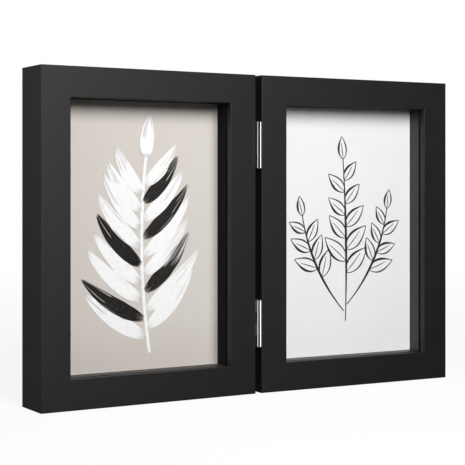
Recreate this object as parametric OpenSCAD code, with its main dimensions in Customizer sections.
// Double photo frame: two box-profile panels joined at their side faces by two butt hinges.
// It stands on its bottom rails with the panels a little short of flat, fronts facing -Y.
// Each panel is a mitred moulding that holds glass, a spacer, a photo, a filler pad and a backing board.
// Origin: middle of the bounding box in X and Y, on the surface that the frame stands on.

/* [Photo] */
// Width of the photo that a panel holds
photo_w = 101.6; // [80:0.1:160]
// Height of the photo that a panel holds
photo_h = 152.4; // [110:0.1:220]
// Thickness of the photo paper
photo_t = 0.25; // [0.1:0.05:0.5]

/* [Moulding] */
// Width of the moulding's front face
rail_w = 16.7; // [15:0.1:30]
// Depth of a panel from front to back
panel_d = 27; // [25:0.5:40]
// How far the lip covers each edge of the photo
lip_cover = 1.8; // [1:0.1:2.2]
// Thickness of the lip in front of the glass
lip_d = 3.7; // [2.5:0.1:5]
// Width of the rebate behind the lip
rebate_w = 3.2; // [3:0.1:4.2]
// Radius of the moulding's front edges
front_arris = 0.5; // [0.3:0.1:1.2]
// Radius of the moulding's outer back edge
back_arris = 0.6; // [0.3:0.1:1.2]

/* [Pack] */
// Clearance round the pack of glass, spacer, filler and backing in the rebate
pack_clear = 0.6; // [0.3:0.05:0.8]
// Thickness of the glass
glass_t = 2; // [1.6:0.1:3]
// Depth of the spacer that holds the photo back from the glass
spacer_d = 9.2; // [5:0.1:10]
// Thickness of the backing board
backing_t = 3; // [2:0.1:3.5]
// How far the backing board lies below the back of the moulding
backing_sink = 0.25; // [0.1:0.05:0.5]

/* [Corner nails] */
// Length of each leg of the V-shaped nails across a mitre
nail_leg = 3.4; // [2:0.1:4]
// Thickness of the nail's steel
nail_t = 0.4; // [0.3:0.05:0.6]
// Depth that a nail is driven from the back
nail_depth = 10; // [5:0.5:14]
// Distance from the inner nail's legs to the rebate
nail_edge = 0.9; // [0.6:0.1:2]
// Clearance round a nail in its slit
nail_clear = 0.02; // [0.01:0.01:0.05]

/* [Turn buttons] */
// Distance from a button's screw to the rebate
button_edge = 6.6; // [5.5:0.1:7.5]
// Distance from a button's screw to the end of its tongue
tongue_reach = 14.5; // [12:0.5:20]
// Radius of the button round its screw
button_r = 4.6; // [4:0.1:5.5]
// Radius of the tongue's end
tongue_r = 2.6; // [2:0.1:3.4]
// Thickness of the button's sheet
button_t = 1; // [0.8:0.1:1.5]
// Height of the stiffening bead along the tongue
bead_h = 0.5; // [0.3:0.1:0.8]
// Width of the stiffening bead along the tongue
bead_w = 2.2; // [1.6:0.1:2.8]
// Gap between the button and the back of the moulding
button_gap = 0.15; // [0.1:0.05:0.3]
// Radius of the button screw's shank
button_screw_r = 1.2; // [1:0.05:1.4]
// Length of the button screw below its head
button_screw_len = 11; // [8:0.5:14]
// Radius of the button screw's head
button_head_r = 2.7; // [2.4:0.1:3.2]
// Height of the button screw's head
button_head_h = 1.5; // [1.2:0.1:2]
// Radius of the head's rounded edge
button_head_edge = 1; // [0.6:0.1:1.1]
// Running clearance of the button round its screw
button_bore_clear = 0.06; // [0.03:0.01:0.1]

/* [Hinges] */
// Angle between the two fronts at rest, where flat is 180
open_angle = 177.6; // [160:0.1:180]
// Length of a hinge
hinge_len = 26.6; // [22:0.1:40]
// Distance from a hinge to the nearest end of the panel
hinge_inset = 26.8; // [20:0.1:40]
// Distance from the hinge's axis to the back edge of its leaves
leaf_reach = 12; // [10:0.5:13]
// Thickness of a leaf
leaf_t = 1; // [0.8:0.05:1.1]
// Radius of the leaf's back corners
leaf_corner = 1.2; // [0.5:0.1:2]
// Radius of the hinge pin
pin_r = 0.7; // [0.5:0.05:0.8]
// Wall of a knuckle round the pin
knuckle_wall = 0.95; // [0.7:0.05:1.1]
// Distance that the barrel stands off the side faces of the panels
barrel_off = 0.3; // [0.2:0.05:0.5]
// Distance from the panels' fronts forward to the hinge axis
axis_proud = 0.25; // [0.2:0.05:0.8]
// Running clearance of the knuckles round the pin
pin_clear = 0.05; // [0.02:0.01:0.1]
// Gap between neighbouring knuckles
knuckle_gap = 0.16; // [0.1:0.02:0.3]
// Radius of the hinge screw's shank
hinge_screw_r = 0.9; // [0.7:0.05:1.1]
// Radius of the hinge screw's countersunk head
hinge_head_r = 1.9; // [1.6:0.1:2.2]
// Length of the hinge screw
hinge_screw_len = 10; // [7:0.5:10.5]

/* [Hidden] */
$fn = 48;

// Overrun of every cut past the face that it opens
over = 0.5;

// Window, rebate and pack sizes, all from the photo and the lip
window_w = photo_w - 2 * lip_cover;
window_h = photo_h - 2 * lip_cover;
panel_w = window_w + 2 * rail_w;
panel_h = window_h + 2 * rail_w;
// Solid back of the moulding, between its outer face and the rebate
land = rail_w - rebate_w;
// Edge of the pack, measured from the panel's outer faces
pack_edge = land + pack_clear;
pack_w = panel_w - 2 * pack_edge;
pack_h = panel_h - 2 * pack_edge;
// The spacer's inner faces line up with the lip's edge
spacer_t = rail_w - pack_edge;

// Depths of the pack's layers, from the front face
glass_y = lip_d;
spacer_y = glass_y + glass_t;
photo_y = spacer_y + spacer_d;
filler_y = photo_y + photo_t;
backing_y = panel_d - backing_sink - backing_t;
filler_t = backing_y - filler_y;

// Corner nails along a mitre: one at a share of the land, and one next to the rebate
outer_nail_share = 0.3;
nail_places = [outer_nail_share * land, land - nail_leg - nail_edge];

// Distance from a panel's outer face to its button screws
button_side = land - button_edge;
// Button and screw seats, from the back face
button_y = panel_d + button_gap;
head_gap = button_gap;
head_y = button_y + button_t + head_gap;
head_top = head_y + button_head_h;
head_flat_r = button_head_r - button_head_edge;
recess_w_share = 0.24;
recess_len_share = 0.9;
recess_depth_share = 0.5;
// Clearance of a screw in its pilot hole, and below its tip
pilot_clear = 0.04;
tip_clear = 1;

// Hinge sizes that follow from the pin, its knuckles and the leaves
knuckle_r = pin_r + knuckle_wall;
knuckle_bore_r = pin_r + pin_clear;
axis_side = knuckle_r + barrel_off;
panel_gap = 2 * axis_side;
knuckle_count = 4;
knuckle_pitch = hinge_len / knuckle_count;
// Clearance of a leaf from the other leaf's knuckles
notch_clear = 0.25;
notch_y = knuckle_r + notch_clear;
// The leaf starts just behind the panels' front faces
leaf_y = axis_proud + front_arris / 2;
leaf_screw_shares = [0.22, 0.78];
leaf_screw_y = (notch_y + leaf_reach) / 2;
hinge_zs = [panel_h - hinge_inset - hinge_len, hinge_inset];

// Half of the angle by which the pair is folded forward from flat
half_fold = (180 - open_angle) / 2;
// Front and back limits of the folded pair, measured from the hinge axis
front_limit = min(
    -knuckle_r,
    (axis_proud + front_arris) * cos(half_fold) - front_arris
        - (axis_side + panel_w - front_arris) * sin(half_fold)
);
back_limit = (axis_proud + head_top - button_head_edge) * cos(half_fold) + button_head_edge
    - (axis_side + button_side - head_flat_r) * sin(half_fold);
axis_y = -(front_limit + back_limit) / 2;

// Finishes
black_lacquer = [0.07, 0.07, 0.07];
matte_black = [0.04, 0.04, 0.04];
clear_glass = [0.8, 0.88, 0.86, 0.3];
left_paper = [0.74, 0.72, 0.68];
right_paper = [0.92, 0.92, 0.91];
grey_board = [0.55, 0.47, 0.36];
brown_board = [0.36, 0.24, 0.14];
zinc = [0.66, 0.67, 0.68];
nickel = [0.78, 0.77, 0.74];

// Places a panel's pieces: X from its hinge side outwards, Y from its front back, Z up
module on_right() {
    translate([0, axis_y, 0]) rotate([0, 0, -half_fold]) translate([axis_side, axis_proud, 0]) children();
}

module on_left() {
    mirror([1, 0, 0]) on_right() children();
}

// Material outside a rounded corner of radius r, for a corner at the origin
module corner_waste(r) {
    difference() {
        translate([-over, -over]) square([over + r, over + r]);
        translate([r, r]) circle(r);
    }
}

// Section of the moulding: X from the outer face to the window, Y from the front to the back
module moulding_section() {
    difference() {
        square([rail_w, panel_d]);
        corner_waste(front_arris);
        translate([rail_w, 0]) mirror([1, 0]) corner_waste(front_arris);
        translate([0, panel_d]) mirror([0, 1]) corner_waste(back_arris);
        translate([land, lip_d]) square([rebate_w + over, panel_d]);
    }
}

// A length of moulding along Z with both ends mitred
module mitred_moulding(length) {
    intersection() {
        linear_extrude(height = length) moulding_section();
        translate([0, panel_d + over, 0]) rotate([90, 0, 0]) linear_extrude(height = panel_d + 2 * over)
            polygon([[0, 0], [rail_w, rail_w], [rail_w, length - rail_w], [0, length]]);
    }
}

// Calls its children at each corner of a panel, mirrored to point inwards
module each_corner() {
    for (x = [0, 1]) for (z = [0, 1])
        translate([x * panel_w, 0, z * panel_h]) mirror([x, 0, 0]) mirror([0, 0, z]) children();
}

// The nails of one corner, each two legs that meet on the mitre, grown by a clearance
module corner_nail_set(grow) {
    for (place = nail_places) {
        start = place - nail_t / 2 - grow;
        for (size = [[nail_leg, nail_t], [nail_t, nail_leg]])
            translate([start, panel_d - nail_depth - grow, start])
                cube([size[0] + 2 * grow, nail_depth + 2 * grow, size[1] + 2 * grow]);
    }
}

module nail_slits() {
    each_corner() corner_nail_set(nail_clear);
}

module corner_nails() {
    color(zinc) each_corner() corner_nail_set(0);
}

// Calls its children at the middle of a moulding's back, with X pointing to the window
module at_button(side) {
    if (side == "top") translate([panel_w / 2, 0, panel_h - button_side]) rotate([0, 90, 0]) children();
    if (side == "bottom") translate([panel_w / 2, 0, button_side]) rotate([0, -90, 0]) children();
    if (side == "outer") translate([panel_w - button_side, 0, panel_h / 2]) rotate([0, 180, 0]) children();
    if (side == "hinge") translate([button_side, 0, panel_h / 2]) children();
}

// A cylinder along Y from y1 to y2, for screws and holes from the back
module back_cylinder(r, y1, y2) {
    translate([0, y1, 0]) rotate([-90, 0, 0]) cylinder(r = r, h = y2 - y1);
}

module button_pilot(side) {
    at_button(side)
        back_cylinder(button_screw_r + pilot_clear, head_y - button_screw_len - tip_clear, panel_d + over);
}

// Calls its children at each hinge screw, with Z along the screw into the stile
module each_hinge_screw() {
    for (z0 = hinge_zs) for (share = leaf_screw_shares)
        translate([-axis_side, -axis_proud, z0]) translate([axis_side, leaf_screw_y, share * hinge_len])
            rotate([0, 90, 0]) children();
}

module hinge_pilots() {
    each_hinge_screw() translate([0, 0, -over])
        cylinder(r = hinge_screw_r + pilot_clear, h = over + hinge_screw_len - leaf_t + tip_clear);
}

module hinge_stile() {
    color(black_lacquer) difference() {
        mitred_moulding(panel_h);
        nail_slits();
        button_pilot("hinge");
        hinge_pilots();
    }
}

module outer_stile() {
    color(black_lacquer) difference() {
        translate([panel_w, 0, 0]) mirror([1, 0, 0]) mitred_moulding(panel_h);
        nail_slits();
        button_pilot("outer");
    }
}

module bottom_rail() {
    color(black_lacquer) difference() {
        mirror([0, 0, 1]) rotate([0, 90, 0]) mitred_moulding(panel_w);
        nail_slits();
        button_pilot("bottom");
    }
}

module top_rail() {
    color(black_lacquer) difference() {
        translate([0, 0, panel_h]) rotate([0, 90, 0]) mitred_moulding(panel_w);
        nail_slits();
        button_pilot("top");
    }
}

// A sheet as large as the pack, from depth y
module pack_sheet(y, t) {
    translate([pack_edge, y, pack_edge]) cube([pack_w, t, pack_h]);
}

module glass() {
    color(clear_glass) pack_sheet(glass_y, glass_t);
}

module filler_pad() {
    color(grey_board) pack_sheet(filler_y, filler_t);
}

module backing_board() {
    color(brown_board) pack_sheet(backing_y, backing_t);
}

// The spacer's strips: two run the full width, and the other two stand between them
module spacer_across(z) {
    color(matte_black) translate([pack_edge, spacer_y, z]) cube([pack_w, spacer_d, spacer_t]);
}

module spacer_upright(x) {
    color(matte_black) translate([x, spacer_y, rail_w]) cube([spacer_t, spacer_d, window_h]);
}

module photo_print(paper) {
    color(paper) translate([(panel_w - photo_w) / 2, photo_y, (panel_h - photo_h) / 2])
        cube([photo_w, photo_t, photo_h]);
}

// Outline of a button: a disc at the screw, tangent lines and a round tongue end, with the tongue along X
module button_outline() {
    reach = tongue_reach - tongue_r;
    slope = acos((button_r - tongue_r) / reach);
    circle(button_r);
    translate([reach, 0]) circle(tongue_r);
    polygon([
        button_r * [cos(slope), sin(slope)],
        [reach + tongue_r * cos(slope), tongue_r * sin(slope)],
        [reach + tongue_r * cos(slope), -tongue_r * sin(slope)],
        button_r * [cos(slope), -sin(slope)]
    ]);
}

// Stiffening bead pressed along the tongue: a round-ended ridge of bead_h above the sheet
module button_bead() {
    bead_r = (bead_w * bead_w / 4 + bead_h * bead_h) / (2 * bead_h);
    bead_start = button_head_r + bead_w;
    bead_end = tongue_reach - tongue_r;
    translate([0, 0, button_t]) intersection() {
        translate([0, 0, bead_h - bead_r]) union() {
            translate([bead_start, 0, 0]) sphere(bead_r);
            translate([bead_end, 0, 0]) sphere(bead_r);
            translate([bead_start, 0, 0]) rotate([0, 90, 0]) cylinder(r = bead_r, h = bead_end - bead_start);
        }
        translate([0, -bead_w, -button_t / 2]) cube([tongue_reach, 2 * bead_w, button_t]);
    }
}

module turn_button(side) {
    color(zinc) at_button(side) translate([0, button_y, 0]) rotate([-90, 0, 0]) difference() {
        union() {
            linear_extrude(height = button_t) button_outline();
            button_bead();
        }
        translate([0, 0, -over])
            cylinder(r = button_screw_r + button_bore_clear, h = button_t + 2 * over);
    }
}

// Cross recess of a screw head whose top is at the origin, sized from the head's radius
module cross_recess(head_r, head_h) {
    depth = recess_depth_share * head_h;
    for (turn = [0, 90]) rotate([0, 0, turn])
        translate([-recess_len_share * head_r / 2, -recess_w_share * head_r / 2, -depth])
            cube([recess_len_share * head_r, recess_w_share * head_r, depth + over]);
}

// Section of a pan head: flat in the middle and round at the edge
module pan_section() {
    intersection() {
        union() {
            square([head_flat_r, button_head_h]);
            square([button_head_r, button_head_h - button_head_edge]);
            translate([head_flat_r, button_head_h - button_head_edge]) circle(button_head_edge);
        }
        square([button_head_r, button_head_h]);
    }
}

// Pan-head screw that a button turns on, with its tip inside the moulding
module button_screw() {
    translate([0, head_y, 0]) rotate([-90, 0, 0]) difference() {
        union() {
            rotate_extrude() pan_section();
            translate([0, 0, button_screw_r - button_screw_len])
                cylinder(r = button_screw_r, h = button_screw_len - button_screw_r + button_head_h / 4);
            translate([0, 0, -button_screw_len])
                cylinder(r1 = button_screw_r / 4, r2 = button_screw_r, h = button_screw_r);
        }
        translate([0, 0, button_head_h]) cross_recess(button_head_r, button_head_h);
    }
}

module button_screws() {
    color(zinc) for (side = ["top", "bottom", "outer", "hinge"]) at_button(side) button_screw();
}

// Countersunk screw along Z, with its head's face at the leaf's inner face
module hinge_screw() {
    taper = hinge_head_r - hinge_screw_r;
    translate([0, 0, -leaf_t]) difference() {
        union() {
            cylinder(r1 = hinge_head_r, r2 = hinge_screw_r, h = min(taper, leaf_t));
            cylinder(r = hinge_screw_r, h = hinge_screw_len - hinge_screw_r);
            translate([0, 0, hinge_screw_len - hinge_screw_r])
                cylinder(r1 = hinge_screw_r, r2 = hinge_screw_r / 4, h = hinge_screw_r);
        }
        mirror([0, 0, 1]) cross_recess(hinge_head_r, leaf_t);
    }
}

module hinge_screws() {
    color(nickel) each_hinge_screw() hinge_screw();
}

// Outline of a leaf on the side face, with Y back from the axis and Z along the hinge
module leaf_plate() {
    translate([-axis_side, 0, 0]) rotate([90, 0, 90]) linear_extrude(height = leaf_t) difference() {
        translate([leaf_y, 0]) square([leaf_reach - leaf_y, hinge_len]);
        translate([leaf_reach, 0]) mirror([1, 0]) corner_waste(leaf_corner);
        translate([leaf_reach, hinge_len]) mirror([1, 0]) mirror([0, 1]) corner_waste(leaf_corner);
    }
}

// Knuckle number k with the web that joins it to its leaf
module knuckle(k) {
    translate([0, 0, k * knuckle_pitch + knuckle_gap / 2])
        linear_extrude(height = knuckle_pitch - knuckle_gap) {
            circle(knuckle_r);
            translate([-knuckle_r, 0]) square([knuckle_wall, notch_y]);
        }
}

// Leaf on the left of the axis, with every second knuckle from number first
module hinge_leaf(first) {
    difference() {
        union() {
            leaf_plate();
            for (k = [first : 2 : knuckle_count - 1]) knuckle(k);
        }
        for (k = [1 - first : 2 : knuckle_count - 1])
            translate([-axis_side - over, -notch_y, k * knuckle_pitch - knuckle_gap / 2])
                cube([axis_side + over + knuckle_r, 2 * notch_y, knuckle_pitch + knuckle_gap]);
        translate([0, 0, -over]) cylinder(r = knuckle_bore_r, h = hinge_len + 2 * over);
        for (share = leaf_screw_shares)
            translate([-axis_side, leaf_screw_y, share * hinge_len]) rotate([0, 90, 0]) {
                translate([0, 0, -over]) cylinder(r = hinge_screw_r + pilot_clear, h = leaf_t + 2 * over);
                translate([0, 0, leaf_t]) mirror([0, 0, 1])
                    cylinder(
                        r1 = hinge_head_r + pilot_clear, r2 = hinge_screw_r + pilot_clear,
                        h = min(hinge_head_r - hinge_screw_r, leaf_t)
                    );
            }
    }
}

module left_leaf(hinge) {
    color(nickel) translate([0, axis_y, hinge_zs[hinge]]) rotate([0, 0, half_fold]) hinge_leaf(1);
}

module right_leaf(hinge) {
    color(nickel) translate([0, axis_y, hinge_zs[hinge]]) mirror([1, 0, 0]) rotate([0, 0, half_fold])
        hinge_leaf(0);
}

// Pin with a small chamfer at each end, flush with the barrel
module hinge_pin(hinge) {
    chamfer = pin_r / 4;
    color(nickel) translate([0, axis_y, hinge_zs[hinge]]) rotate_extrude()
        polygon([
            [0, 0], [pin_r - chamfer, 0], [pin_r, chamfer],
            [pin_r, hinge_len - chamfer], [pin_r - chamfer, hinge_len], [0, hinge_len]
        ]);
}

on_left() top_rail();  // left_top_rail
on_left() bottom_rail();  // left_bottom_rail
on_left() outer_stile();  // left_outer_stile
on_left() hinge_stile();  // left_hinge_stile
on_left() glass();  // left_glass
on_left() spacer_across(panel_h - rail_w);  // left_spacer_top
on_left() spacer_across(pack_edge);  // left_spacer_bottom
on_left() spacer_upright(panel_w - rail_w);  // left_spacer_outer
on_left() spacer_upright(pack_edge);  // left_spacer_hinge
on_left() photo_print(left_paper);  // left_photo_print
on_left() filler_pad();  // left_filler_pad
on_left() backing_board();  // left_backing_board
on_left() corner_nails();  // left_corner_nails
on_left() turn_button("top");  // left_button_top
on_left() turn_button("bottom");  // left_button_bottom
on_left() turn_button("outer");  // left_button_outer
on_left() turn_button("hinge");  // left_button_hinge
on_left() button_screws();  // left_button_screws
on_left() hinge_screws();  // left_hinge_screws
on_right() top_rail();  // right_top_rail
on_right() bottom_rail();  // right_bottom_rail
on_right() outer_stile();  // right_outer_stile
on_right() hinge_stile();  // right_hinge_stile
on_right() glass();  // right_glass
on_right() spacer_across(panel_h - rail_w);  // right_spacer_top
on_right() spacer_across(pack_edge);  // right_spacer_bottom
on_right() spacer_upright(panel_w - rail_w);  // right_spacer_outer
on_right() spacer_upright(pack_edge);  // right_spacer_hinge
on_right() photo_print(right_paper);  // right_photo_print
on_right() filler_pad();  // right_filler_pad
on_right() backing_board();  // right_backing_board
on_right() corner_nails();  // right_corner_nails
on_right() turn_button("top");  // right_button_top
on_right() turn_button("bottom");  // right_button_bottom
on_right() turn_button("outer");  // right_button_outer
on_right() turn_button("hinge");  // right_button_hinge
on_right() button_screws();  // right_button_screws
on_right() hinge_screws();  // right_hinge_screws
left_leaf(0);  // upper_hinge_left_leaf
right_leaf(0);  // upper_hinge_right_leaf
hinge_pin(0);  // upper_hinge_pin
left_leaf(1);  // lower_hinge_left_leaf
right_leaf(1);  // lower_hinge_right_leaf
hinge_pin(1);  // lower_hinge_pin
